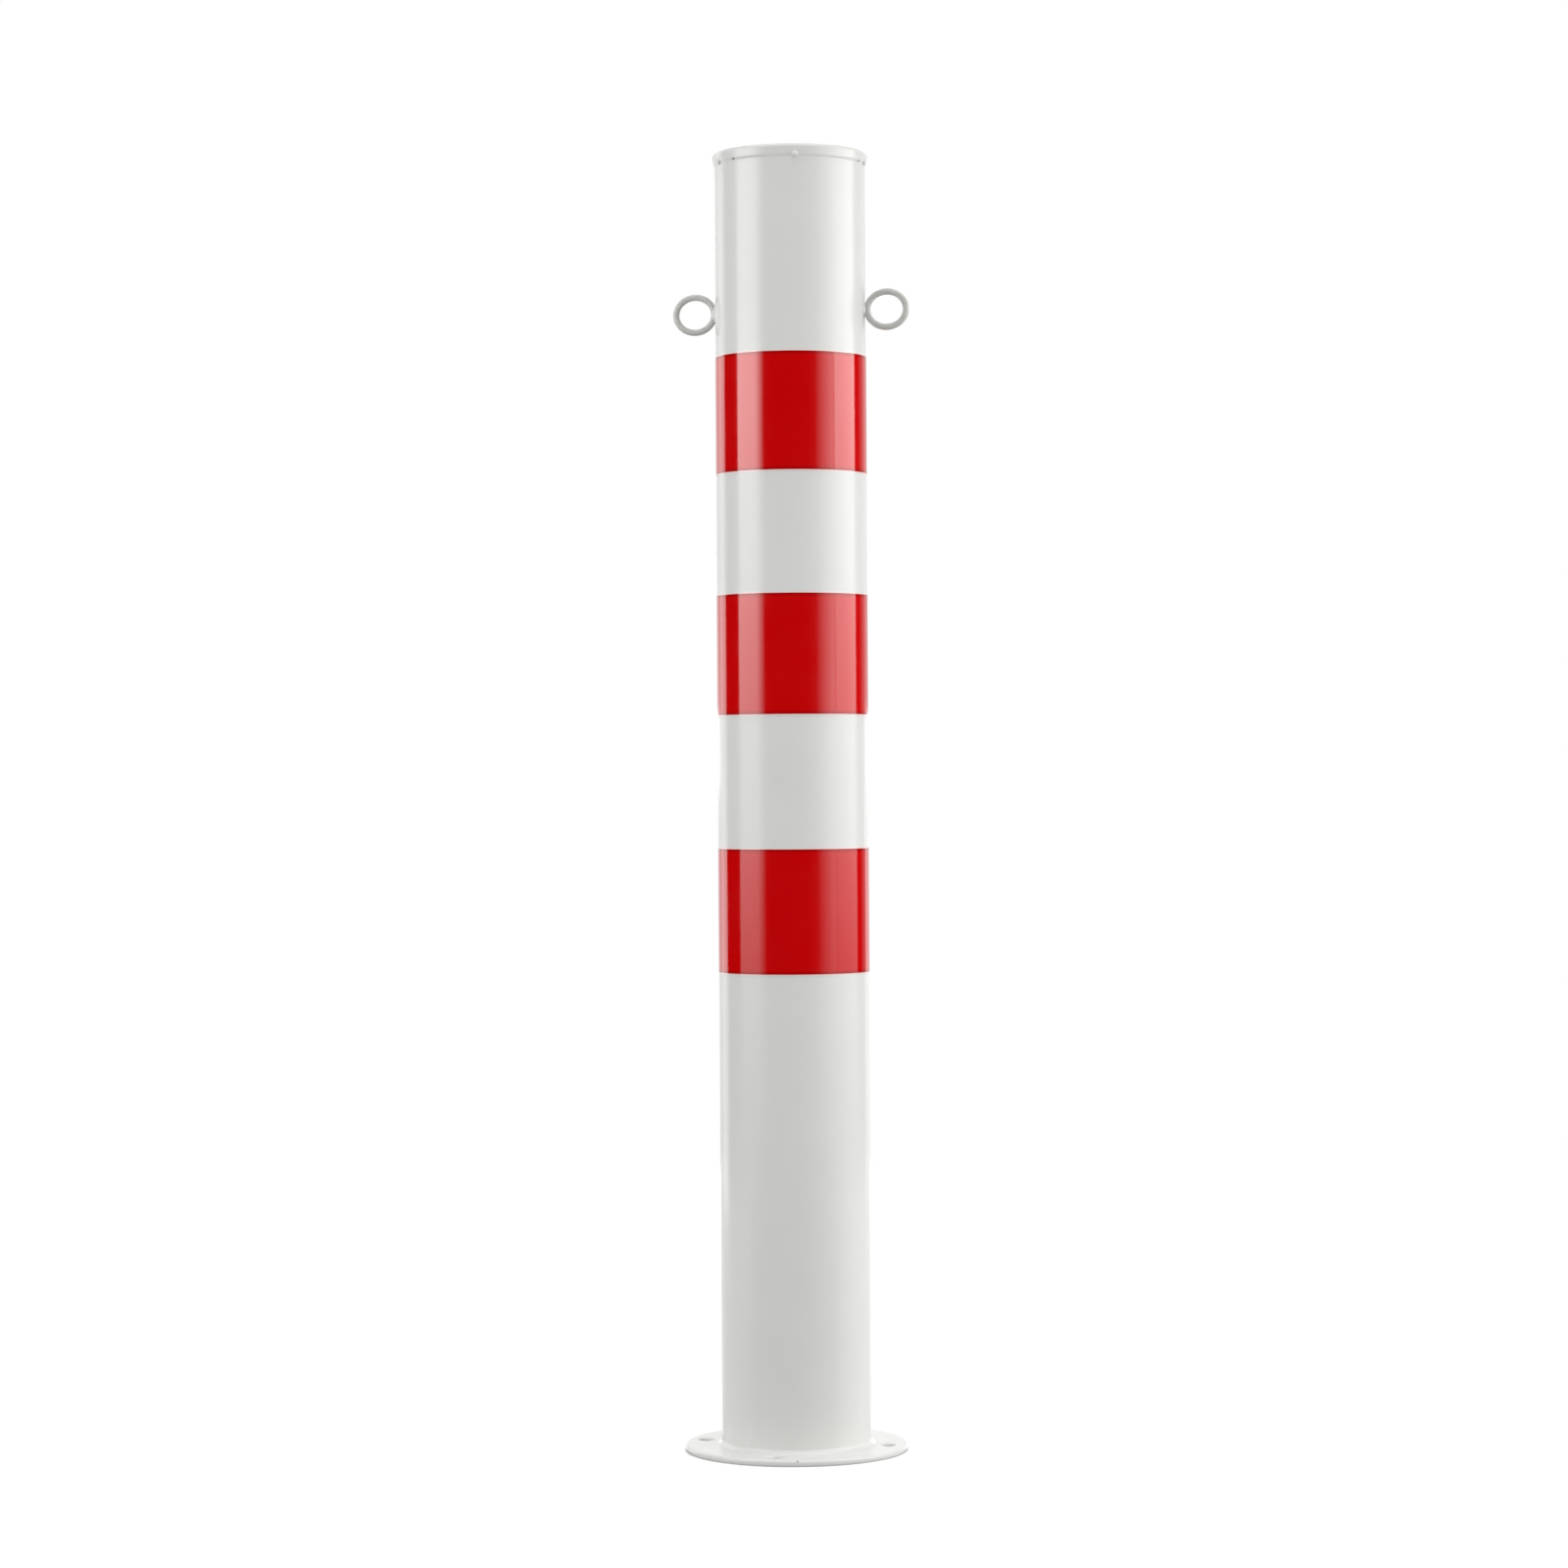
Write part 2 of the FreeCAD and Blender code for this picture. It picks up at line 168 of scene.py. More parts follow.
class BollardFinish(PropertyGroup):
    """Colours and surface grain of the paints and the film."""

    white: colour("White paint", "Powder coat of the post", "#e4e4e2")
    white_dull: colour("White paint, thin", "The powder coat where it lies a little thinner", "#dfdfdc")
    # The eyes' paint is the white powder coat greyed: painted shade for the thin round bars, in both its
    # thick and thin tone
    eye_grey: colour("Eye paint", "Paint of the chain eyes", "#d0d1cd")
    eye_shaded_thin: colour("Eye paint, thin", "That paint where it lies a little thinner", "#c4c5c0")
    drift_width: length("Paint drift", "Width of the places where paint lies thicker or thinner", 40)
    white_rough: share("Paint roughness", "Roughness of the powder coat", 0.17)
    white_rough_thin: share("Paint roughness, thin", "That roughness where the paint lies thinner", 0.22)
    white_gloss: share("Paint gloss", "Strength of the powder coat's reflection", 0.33)
    peel_width: length("Orange peel", "Width of the powder coat's ripples", 2.6)
    peel_depth: length("Orange peel depth", "Depth of those ripples", 0.004)
    # The colour of the chip also paints the shadow in the openings of the seam under the cap's skirt
    chip: colour("Chip", "Bare steel where the paint is missing", "#80827d")
    chip_size: length("Chip size", "Half the width of the chip in the paint of the plate's rim", 1.0)
    chip_drop: length("Chip drop", "Chip below the plate's upper face and in from its rim", 0.65)
    chip_turn: angle("Chip turn", "Chip from the front, towards +X", 12.9)
    # These marks under the cap's skirt are painted shadow where its seam opens
    gap_shadow_width: length("Gap width", "Half the length of the gaps in the paint under the cap's skirt", 2.0)
    gap_shadow_height: length("Gap height", "Half the height of those gaps", 0.9)
    left_gap_shadow_turn: angle("Left gap", "Left gap from the front, towards +X", -34.6)
    right_gap_shadow_turn: angle("Right gap", "Right gap from the front, towards +X", 77.6)
    red: colour("Red film", "Body of the film", "#d00104")
    # Darker red just inside the cut edges is painted shade
    red_edge_shade: colour("Film edge", "The film just inside its cut edges", "#960306")
    # Pale margin at the cut edges: clear film over the glue, partly a painted highlight along the edge
    film_margin_highlight: colour("Film margin", "Clear margin where the glue shows through", "#ffdcd9")
    margin_highlight_width: length("Margin", "Width of the film's clear margin", 0.9)
    edge_width: length("Edge line", "Width of the darker line inside the margin", 3.0)
    film_drift: length("Film drift", "Width of the places where the film is more or less glossy", 30)
    film_rough: share("Film roughness", "Roughness of the film where it is most glossy", 0.085)
    film_rough_dull: share("Film roughness, dull", "Roughness of the film where it is least glossy", 0.12)
    film_gloss: share("Film gloss", "Strength of the film's reflection", 0.75)
    wave_width: length("Film waves", "Width of the film's slight waves", 9)
    wave_depth: length("Film wave depth", "Depth of those waves", 0.008)


class BollardStudio(PropertyGroup):
    """Camera and light."""

    azimuth: angle("Azimuth", "Camera's turn from the front, towards +X", 12.8)
    distance: length("Distance", "Camera to the post's axis", 3084.3)
    height: length("Height", "Camera above the ground", 504.8)
    offset: length("Offset", "Camera to the right of the line through the axis", -6.95)
    roll: angle("Roll", "Camera's turn about its line of sight", -0.332)
    lens: FloatProperty(name="Lens", description="Focal length, in millimetres", default=93.24)
    sensor: FloatProperty(name="Sensor", description="Width of the sensor, in millimetres", default=36)
    room: share("Room light", "Soft light from all round the room", 0.53)
    sweep: share("Sweep", "Brightness of the white behind the bollard", 1.0)
    top_height: length("Top panel height", "Height of the panel over the post", 4200)
    top_side: length("Top panel side", "Side of that square panel", 4500)
    floor: colour("Floor", "White paper floor", "#fcfcfb")
    floor_radius: length("Floor radius", "Radius of the paper floor", 2200)
    floor_glow: share("Floor glow", "Light that the paper floor lets through near the post", 0.12)
    floor_edge_glow: share("Floor edge glow", "The same at its edge, where it meets the white behind it", 1.0)
    glow_start: length("Glow start", "Distance from the post where that light begins to grow", 550)
    mottle_width: length("Paper mottle", "Width of the paper's mottle", 8)
    mottle_depth: length("Paper mottle depth", "Depth of that mottle", 0.05)


def socket_of(sockets, key):
    """A node's socket by place or by name, passing over those that its options switch off."""
    if isinstance(key, int):
        return sockets[key]
    return next(socket for socket in sockets if socket.name == key and socket.enabled)


def add_node(tree, kind, inputs=None, **options):
    """Adds a node, sets its options, and gives each input a value, or links from a node, an output or a list
    of them."""
    node = tree.nodes.new(kind)
    for option, value in options.items():
        setattr(node, option, value)
    for key, value in (inputs or {}).items():
        socket = socket_of(node.inputs, key)
        for source in value if isinstance(value, list) else [value]:
            if isinstance(source, bpy.types.Node):
                source = next(output for output in source.outputs if output.enabled)
            if isinstance(source, bpy.types.NodeSocket):
                tree.links.new(source, socket)
            else:
                socket.default_value = source
    return node


def opaque(rgb):
    return (*rgb, 1)


def new_material(name):
    """An empty material, and its node tree."""
    material = bpy.data.materials.new(name)
    material.use_nodes = True
    material.node_tree.nodes.clear()
    return material, material.node_tree


def close_material(tree, surface):
    """Ends a material's tree in one Principled shader with these inputs."""
    shader = add_node(tree, "ShaderNodeBsdfPrincipled", surface)
    add_node(tree, "ShaderNodeOutputMaterial", {"Surface": shader})


def powder_coat(finish, name, colours=None, gaps=()):
    """Polyester powder, sprayed on and baked: an even gloss skin whose faint orange peel softens the edges of
    reflections, a touch duller where it lies thin. A gap is the middle of a place without paint, or of a
    painted shadow in an opening, with its half width and its half height."""
    thick, thin = colours or (finish.white, finish.white_dull)
    material, tree = new_material(name)
    place = add_node(tree, "ShaderNodeTexCoord").outputs["Object"]
    peel = add_node(tree, "ShaderNodeTexNoise",
                    {"Vector": place, "Scale": 1 / finish.peel_width, "Detail": 1.5, "Roughness": 0.4})
    drift = add_node(tree, "ShaderNodeTexNoise",
                     {"Vector": place, "Scale": 1 / finish.drift_width, "Detail": 2.0})
    coat = add_node(tree, "ShaderNodeMix", {"Factor": drift, "A": opaque(thick), "B": opaque(thin)},
                    data_type="RGBA")
    rough = add_node(tree, "ShaderNodeMapRange",
                     {"Value": drift, "From Min": NOISE_LOW, "From Max": NOISE_HIGH,
                      "To Min": finish.white_rough, "To Max": finish.white_rough_thin})
    relief = add_node(tree, "ShaderNodeBump",
                      {"Strength": 1.0, "Distance": finish.peel_depth, "Height": peel})
    # Each spot is either a place without paint or a painted shadow in an opening of the cap's seam
    for centre, half_width, half_height in gaps:
        off = add_node(tree, "ShaderNodeVectorMath", {0: place, 1: centre}, operation="SUBTRACT")
        apart = add_node(tree, "ShaderNodeVectorMath",
                         {0: off, 1: (1 / half_width, 1 / half_width, 1 / half_height)}, operation="MULTIPLY")
        away = add_node(tree, "ShaderNodeVectorMath", {0: apart}, operation="LENGTH")
        bare_or_shaded = add_node(tree, "ShaderNodeMapRange",
                        {"Value": away.outputs["Value"], "From Min": BARE_OR_SHADOW_CORE, "From Max": 1.0,
                         "To Min": 1.0, "To Max": 0.0}, interpolation_type="SMOOTHSTEP")
        coat = add_node(tree, "ShaderNodeMix", {"Factor": bare_or_shaded, "A": coat, "B": opaque(finish.chip)},
                        data_type="RGBA")
    close_material(tree, {"Base Color": coat, "Roughness": rough, "Normal": relief,
                          "Specular IOR Level": finish.white_gloss})
    return material


def gloss_film(finish, name):
    """Cast vinyl film with its colour under a gloss face: deep even red, sharp reflections that waver where
    it follows the coat below it, a dark line of painted shade just inside the cut, and a narrow pale margin
    of clear film over the glue that also carries a painted highlight along the edge."""
    material, tree = new_material(name)
    place = add_node(tree, "ShaderNodeTexCoord").outputs["Object"]
    from_foot = add_node(tree, "ShaderNodeAttribute", attribute_name="from_foot").outputs["Fac"]
    from_head = add_node(tree, "ShaderNodeAttribute", attribute_name="from_head").outputs["Fac"]
    from_edge = add_node(tree, "ShaderNodeMath", {0: from_foot, 1: from_head}, operation="MINIMUM")
    waves = add_node(tree, "ShaderNodeTexNoise",
                     {"Vector": place, "Scale": 1 / finish.wave_width, "Detail": 1.0})
    drift = add_node(tree, "ShaderNodeTexNoise",
                     {"Vector": place, "Scale": 1 / finish.film_drift, "Detail": 2.0})
    # The darker red inside the margin is painted shade along the cut edge
    inside = add_node(tree, "ShaderNodeMapRange",
                      {"Value": from_edge, "From Min": finish.margin_highlight_width,
                       "From Max": finish.margin_highlight_width + finish.edge_width})
    body = add_node(tree, "ShaderNodeMix",
                    {"Factor": inside, "A": opaque(finish.red_edge_shade), "B": opaque(finish.red)},
                    data_type="RGBA")
    # The pale margin along the edge is partly a painted highlight
    printed = add_node(tree, "ShaderNodeMath", {0: from_edge, 1: finish.margin_highlight_width},
                       operation="GREATER_THAN")
    face = add_node(tree, "ShaderNodeMix", {"Factor": printed, "A": opaque(finish.film_margin_highlight), "B": body},
                    data_type="RGBA")
    rough = add_node(tree, "ShaderNodeMapRange",
                     {"Value": drift, "From Min": NOISE_LOW, "From Max": NOISE_HIGH,
                      "To Min": finish.film_rough, "To Max": finish.film_rough_dull})
    relief = add_node(tree, "ShaderNodeBump",
                      {"Strength": 1.0, "Distance": finish.wave_depth, "Height": waves})
    close_material(tree, {"Base Color": face, "Roughness": rough, "Normal": relief,
                          "Specular IOR Level": finish.film_gloss})
    return material


def seamless_paper(studio):
    """Heavy white paper on a lit table: quite matt, with a faint mottle, and brighter towards its edge."""
    material, tree = new_material("white_seamless_paper")
    place = add_node(tree, "ShaderNodeTexCoord").outputs["Object"]
    mottle = add_node(tree, "ShaderNodeTexNoise",
                      {"Vector": place, "Scale": 1 / studio.mottle_width, "Detail": 3.0})
    relief = add_node(tree, "ShaderNodeBump",
                      {"Strength": 0.2, "Distance": studio.mottle_depth, "Height": mottle})
    away = add_node(tree, "ShaderNodeVectorMath", {0: place}, operation="LENGTH").outputs["Value"]
    glow = add_node(tree, "ShaderNodeMapRange",
                    {"Value": away, "From Min": studio.glow_start, "From Max": studio.floor_radius,
                     "To Min": studio.floor_glow, "To Max": studio.floor_edge_glow})
    close_material(tree, {"Base Color": opaque(studio.floor), "Roughness": 0.9, "Normal": relief,
                          "Emission Color": opaque(studio.floor), "Emission Strength": glow})
    return material


def new_tree(name, sizes):
    """A node tree for a modifier, with a named input for each size and one for the finish."""
    tree = bpy.data.node_groups.new(name, "GeometryNodeTree")
    tree.interface.new_socket("Geometry", in_out="INPUT", socket_type="NodeSocketGeometry")
    for size, kind in sizes.items():
        tree.interface.new_socket(size, in_out="INPUT", socket_type=kind)
    tree.interface.new_socket("Finish", in_out="INPUT", socket_type="NodeSocketMaterial")
    tree.interface.new_socket("Geometry", in_out="OUTPUT", socket_type="NodeSocketGeometry")
    return tree, add_node(tree, "NodeGroupInput").outputs


def close_tree(tree, shape, finish):
    """Ends a tree in one real mesh with its finish on it."""
    real = add_node(tree, "GeometryNodeRealizeInstances", {"Geometry": shape})
    coated = add_node(tree, "GeometryNodeSetMaterial", {"Geometry": real, "Material": finish})
    add_node(tree, "NodeGroupOutput", {"Geometry": coated})
    return tree


def closed_sheet(tree, sheet, thickness):
    """Gives a sheet of faces a thickness along its normals, as one closed skin."""
    face = add_node(tree, "GeometryNodeExtrudeMesh",
                    {"Mesh": sheet, "Offset Scale": thickness, "Individual": False}, mode="FACES")
    back = add_node(tree, "GeometryNodeFlipFaces", {"Mesh": sheet})
    skin = add_node(tree, "GeometryNodeJoinGeometry", {"Geometry": [face, back]})
    return add_node(tree, "GeometryNodeMergeByDistance", {"Geometry": skin, "Distance": TOUCHING})


def uneven_skin(tree, shape, given, detail, ripple=0.0):
    """Moves a skin in and out along its normals, by noise of a given grain on top of a ripple."""
    per_metre = add_node(tree, "ShaderNodeMath", {0: 1.0, 1: given["Grain"]}, operation="DIVIDE")
    grain = add_node(tree, "ShaderNodeTexNoise", {"Scale": per_metre, "Detail": detail})
    level = add_node(tree, "ShaderNodeMath", {0: grain, 1: NOISE_MIDDLE}, operation="SUBTRACT")
    swell = add_node(tree, "ShaderNodeMath", {0: level, 1: given["Unevenness"], 2: ripple},
                     operation="MULTIPLY_ADD")
    out = add_node(tree, "ShaderNodeVectorMath",
                   {0: add_node(tree, "GeometryNodeInputNormal"), "Scale": swell}, operation="SCALE")
    return add_node(tree, "GeometryNodeSetPosition", {"Geometry": shape, "Offset": out})


def rounded_edge(tree, side, thickness, top_edge, foot_edge):
    """Outline of a plate's edge for a sweep along it, where Y points down: a round, an upright and a round.
    The plate lies inside or outside the path."""
    top, foot = (add_node(tree, "ShaderNodeMath", {0: edge, 1: side}, operation="MULTIPLY")
                 for edge in (top_edge, foot_edge))
    rise = add_node(tree, "ShaderNodeMath", {0: thickness, 1: -1.0}, operation="MULTIPLY")
    corners = add_node(tree, "GeometryNodeCurvePrimitiveQuadrilateral", {
        "Point 1": add_node(tree, "ShaderNodeCombineXYZ", {"X": top, "Y": rise}),
        "Point 2": add_node(tree, "ShaderNodeCombineXYZ", {"Y": rise}),
        "Point 3": (0, 0, 0),
        "Point 4": add_node(tree, "ShaderNodeCombineXYZ", {"X": foot})}, mode="POINTS")
    line = add_node(tree, "GeometryNodeSetSplineCyclic", {"Geometry": corners, "Cyclic": False})
    is_foot = add_node(tree, "FunctionNodeCompare", {"A": add_node(tree, "GeometryNodeInputIndex"), "B": 1},
                       data_type="INT", operation="GREATER_THAN")
    radius = add_node(tree, "GeometryNodeSwitch",
                      {"Switch": is_foot, "False": top_edge, "True": foot_edge}, input_type="FLOAT")
    return add_node(tree, "GeometryNodeFilletCurve", {"Curve": line, "Count": EDGE_STEPS, "Radius": radius},
                    mode="POLY")


def drilled_disc_tree():
    """A flat disc with a ring of holes and rounded edges: two faces, and swept walls between them."""
    tree, given = new_tree("drilled_disc", {"Radius": REAL, "Thickness": REAL, "Hole Circle": REAL,
                                            "Hole Radius": REAL, "Holes": WHOLE, "Rim Edge": REAL,
                                            "Hole Edge": REAL, "Foot Edge": REAL})
    centres = add_node(tree, "GeometryNodeMeshCircle",
                       {"Vertices": given["Holes"], "Radius": given["Hole Circle"]})

    def at_holes(shape):
        holes = add_node(tree, "GeometryNodeInstanceOnPoints", {"Points": centres, "Instance": shape})
        return add_node(tree, "GeometryNodeRealizeInstances", {"Geometry": holes})

    def face(rim_edge, hole_edge, level):
        inner = add_node(tree, "ShaderNodeMath", {0: given["Radius"], 1: rim_edge}, operation="SUBTRACT")
        outer = add_node(tree, "ShaderNodeMath", {0: given["Hole Radius"], 1: hole_edge}, operation="ADD")
        rim, hole = (add_node(tree, "GeometryNodeCurvePrimitiveCircle", {"Resolution": steps, "Radius": size})
                     for steps, size in ((RIM_STEPS, inner), (HOLE_STEPS, outer)))
        outline = add_node(tree, "GeometryNodeJoinGeometry", {"Geometry": [rim, at_holes(hole)]})
        sheet = add_node(tree, "GeometryNodeFillCurve", {"Curve": outline}, mode="NGONS")
        lift = add_node(tree, "ShaderNodeCombineXYZ", {"Z": level})
        return add_node(tree, "GeometryNodeTransform", {"Geometry": sheet, "Translation": lift})

    def wall(steps, radius, side, top_edge):
        path = add_node(tree, "GeometryNodeCurvePrimitiveCircle", {"Resolution": steps, "Radius": radius})
        edge = rounded_edge(tree, side, given["Thickness"], top_edge, given["Foot Edge"])
        return add_node(tree, "GeometryNodeCurveToMesh", {"Curve": path, "Profile Curve": edge})

    rim = wall(RIM_STEPS, given["Radius"], INSIDE, given["Rim Edge"])
    bore = wall(HOLE_STEPS, given["Hole Radius"], OUTSIDE, given["Hole Edge"])
    hole = add_node(tree, "GeometryNodeFlipFaces", {"Mesh": bore})
    top = face(given["Rim Edge"], given["Hole Edge"], given["Thickness"])
    underside = face(given["Foot Edge"], given["Foot Edge"], 0.0)
    foot = add_node(tree, "GeometryNodeFlipFaces", {"Mesh": underside})
    faces = add_node(tree, "GeometryNodeJoinGeometry", {"Geometry": [top, foot]})
    walls = add_node(tree, "GeometryNodeJoinGeometry", {"Geometry": [rim, at_holes(hole)]})
    skin = add_node(tree, "GeometryNodeJoinGeometry", {"Geometry": [faces, walls]})
    closed = add_node(tree, "GeometryNodeMergeByDistance", {"Geometry": skin, "Distance": TOUCHING})
    return close_tree(tree, closed, given["Finish"])


def bent_link_tree():
    """Round bar bent to a closed ring, drawn out a little in width, standing in the XZ plane."""
    tree, given = new_tree("bent_link", {"Bar Radius": REAL, "Half Width": REAL, "Half Height": REAL,
                                         "Centre": VECTOR})
    ring = add_node(tree, "GeometryNodeCurvePrimitiveCircle", {"Resolution": LINK_STEPS, "Radius": 1.0})
    drawn = add_node(tree, "ShaderNodeCombineXYZ", {"X": given["Half Width"], "Y": given["Half Height"]})
    place = add_node(tree, "ShaderNodeVectorMath",
                     {0: add_node(tree, "GeometryNodeInputPosition"), 1: drawn}, operation="MULTIPLY")
    path = add_node(tree, "GeometryNodeSetPosition", {"Geometry": ring, "Position": place})
    section = add_node(tree, "GeometryNodeCurvePrimitiveCircle",
                       {"Resolution": BAR_STEPS, "Radius": given["Bar Radius"]})
    bar = add_node(tree, "GeometryNodeCurveToMesh", {"Curve": path, "Profile Curve": section})
    stood = add_node(tree, "GeometryNodeTransform",
                     {"Geometry": bar, "Rotation": (QUARTER_TURN, 0, 0), "Translation": given["Centre"]})
    return close_tree(tree, stood, given["Finish"])


def weld_lumps_tree():
    """Lumps of weld metal spaced round the post, each a little different, with an uneven skin."""
    tree, given = new_tree("weld_lumps", {"Count": WHOLE, "First Turn": REAL, "Circle": REAL, "Level": REAL,
                                          "Size": VECTOR, "Unevenness": REAL, "Grain": REAL})
    pitch = add_node(tree, "ShaderNodeMath", {0: FULL_TURN, 1: given["Count"]}, operation="DIVIDE")
    around = add_node(tree, "ShaderNodeMath",
                      {0: add_node(tree, "GeometryNodeInputIndex"), 1: pitch, 2: given["First Turn"]},
                      operation="MULTIPLY_ADD")
    first = add_node(tree, "ShaderNodeCombineXYZ", {"X": given["Circle"], "Z": given["Level"]})
    place = add_node(tree, "ShaderNodeVectorRotate", {"Vector": first, "Angle": around},
                     rotation_type="Z_AXIS")
    places = add_node(tree, "GeometryNodePoints", {"Count": given["Count"], "Position": place})
    ball = add_node(tree, "GeometryNodeMeshIcoSphere", {"Radius": 1.0, "Subdivisions": LUMP_DIVISIONS})
    lump = add_node(tree, "GeometryNodeTransform", {"Geometry": ball, "Scale": given["Size"]})
    facing = add_node(tree, "ShaderNodeCombineXYZ", {"Z": around})
    scale = add_node(tree, "FunctionNodeRandomValue",
                     {"Min": LEAST_LUMP, "Max": MOST_LUMP, "Seed": LUMP_SEED}, data_type="FLOAT_VECTOR")
    lumps = add_node(tree, "GeometryNodeInstanceOnPoints",
                     {"Points": places, "Instance": lump, "Rotation": facing, "Scale": scale})
    real_lumps = add_node(tree, "GeometryNodeRealizeInstances", {"Geometry": lumps})
    return close_tree(tree, uneven_skin(tree, real_lumps, given, detail=1.0), given["Finish"])


def weld_ripple_tree():
    """Moves the skin of a turned weld bead in and out: regular ripples along its path, and a slow wander."""
    tree, given = new_tree("weld_ripple", {"Ripples": REAL, "Ripple Height": REAL, "Unevenness": REAL,
                                           "Grain": REAL})
    spot = add_node(tree, "ShaderNodeSeparateXYZ", {0: add_node(tree, "GeometryNodeInputPosition")})
    around = add_node(tree, "ShaderNodeMath", {0: spot.outputs["Y"], 1: spot.outputs["X"]},
                      operation="ARCTAN2")
    phase = add_node(tree, "ShaderNodeMath", {0: around, 1: given["Ripples"]}, operation="MULTIPLY")
    wave = add_node(tree, "ShaderNodeMath", {0: phase}, operation="SINE")
    ripple = add_node(tree, "ShaderNodeMath", {0: wave, 1: given["Ripple Height"]}, operation="MULTIPLY")
    moved = uneven_skin(tree, given["Geometry"], given, detail=1.5, ripple=ripple)
    return close_tree(tree, moved, given["Finish"])


def wrapped_film_tree():
    """A strip of film wrapped once round the post, its end climbing onto its start at the back. Each point
    keeps its distance from the strip's lower and upper edge."""
    tree, given = new_tree("wrapped_film", {"Radius": REAL, "Foot": REAL, "Height": REAL, "Lap": REAL,
                                            "Ramp": REAL, "Thickness": REAL})
    strip = add_node(tree, "GeometryNodeMeshGrid",
                     {"Size X": 1.0, "Size Y": 1.0,
                      "Vertices X": FILM_POINTS_ALONG, "Vertices Y": FILM_POINTS_UP})
    spot = add_node(tree, "ShaderNodeSeparateXYZ", {0: add_node(tree, "GeometryNodeInputPosition")})
    along, across = (add_node(tree, "ShaderNodeMath", {0: spot.outputs[axis], 1: 0.5}, operation="ADD")
                     for axis in "XY")
    from_foot = add_node(tree, "ShaderNodeMath", {0: across, 1: given["Height"]}, operation="MULTIPLY")
    from_head = add_node(tree, "ShaderNodeMath", {0: given["Height"], 1: from_foot}, operation="SUBTRACT")
    lap_turn = add_node(tree, "ShaderNodeMath", {0: given["Lap"], 1: given["Radius"]}, operation="DIVIDE")
    ramp_turn = add_node(tree, "ShaderNodeMath", {0: given["Ramp"], 1: given["Radius"]}, operation="DIVIDE")
    sweep = add_node(tree, "ShaderNodeMath", {0: lap_turn, 1: FULL_TURN}, operation="ADD")
    turn = add_node(tree, "ShaderNodeMath", {0: along, 1: sweep}, operation="MULTIPLY")
    climb = add_node(tree, "ShaderNodeMath", {0: FULL_TURN, 1: ramp_turn}, operation="SUBTRACT")
    lift = add_node(tree, "ShaderNodeMapRange",
                    {"Value": turn, "From Min": climb, "From Max": FULL_TURN,
                     "To Min": 0.0, "To Max": given["Thickness"]}, interpolation_type="SMOOTHSTEP")
    reach = add_node(tree, "ShaderNodeMath", {0: given["Radius"], 1: lift}, operation="ADD")
    start = add_node(tree, "ShaderNodeMath", {0: lap_turn, 1: -0.5, 2: BACK}, operation="MULTIPLY_ADD")
    bearing = add_node(tree, "ShaderNodeMath", {0: turn, 1: start}, operation="ADD")
    cosine = add_node(tree, "ShaderNodeMath", {0: bearing}, operation="COSINE")
    sine = add_node(tree, "ShaderNodeMath", {0: bearing}, operation="SINE")
    place = add_node(tree, "ShaderNodeCombineXYZ", {
        "X": add_node(tree, "ShaderNodeMath", {0: reach, 1: cosine}, operation="MULTIPLY"),
        "Y": add_node(tree, "ShaderNodeMath", {0: reach, 1: sine}, operation="MULTIPLY"),
        "Z": add_node(tree, "ShaderNodeMath", {0: given["Foot"], 1: from_foot}, operation="ADD")})
    marked = strip.outputs["Mesh"]
    for name, distance in (("from_foot", from_foot), ("from_head", from_head)):
        marked = add_node(tree, "GeometryNodeStoreNamedAttribute",
                          {"Geometry": marked, "Name": name, "Value": distance},
                          data_type="FLOAT", domain="POINT")
    wrapped = add_node(tree, "GeometryNodeSetPosition", {"Geometry": marked, "Position": place})
    return close_tree(tree, closed_sheet(tree, wrapped, given["Thickness"]), given["Finish"])


def new_object(name, data):
    item = bpy.data.objects.new(name, data)
    bpy.context.scene.collection.objects.link(item)
    return item


def make_plain(item):
    """Turns an object's modifiers into a plain mesh."""
    graph = bpy.context.evaluated_depsgraph_get()
    rough = item.data
    made = bpy.data.meshes.new_from_object(item.evaluated_get(graph), preserve_all_data_layers=True,
                                           depsgraph=graph)
    if not made.polygons:
        raise RuntimeError(f"{item.name} came out empty")
    item.modifiers.clear()
    item.data = made
    made.name = item.name
    bpy.data.meshes.remove(rough)
    return item


def reshape(item, tree, **sizes):
    """Runs a node tree on an object with these sizes, and keeps the plain mesh that it makes."""
    modifier = item.modifiers.new(tree.name, "NODES")
    modifier.node_group = tree
    for socket in tree.interface.items_tree:
        key = socket.name.lower().replace(" ", "_")
        if socket.in_out == "INPUT" and key in sizes:
            modifier[socket.identifier] = sizes[key]
    return make_plain(item)


def grow(name, tree, **sizes):
    """A new object whose mesh a node tree makes from these sizes alone."""
    return reshape(new_object(name, bpy.data.meshes.new("blank")), tree, **sizes)


def smooth(item, sharpest=40):
    """Smooth shading, with edges sharper than this many degrees left crisp."""
    item.data.shade_smooth()
    item.data.set_sharp_from_angle(angle=math.radians(sharpest))
    return item


def arc(centre, radius, first, last, steps):
    """Points on part of a circle in the radius and height plane, from one angle in degrees to another."""
    turns = [math.radians(first + (last - first) * step / steps) for step in range(steps + 1)]
    return [(centre[0] + radius * math.cos(turn), centre[1] + radius * math.sin(turn)) for turn in turns]


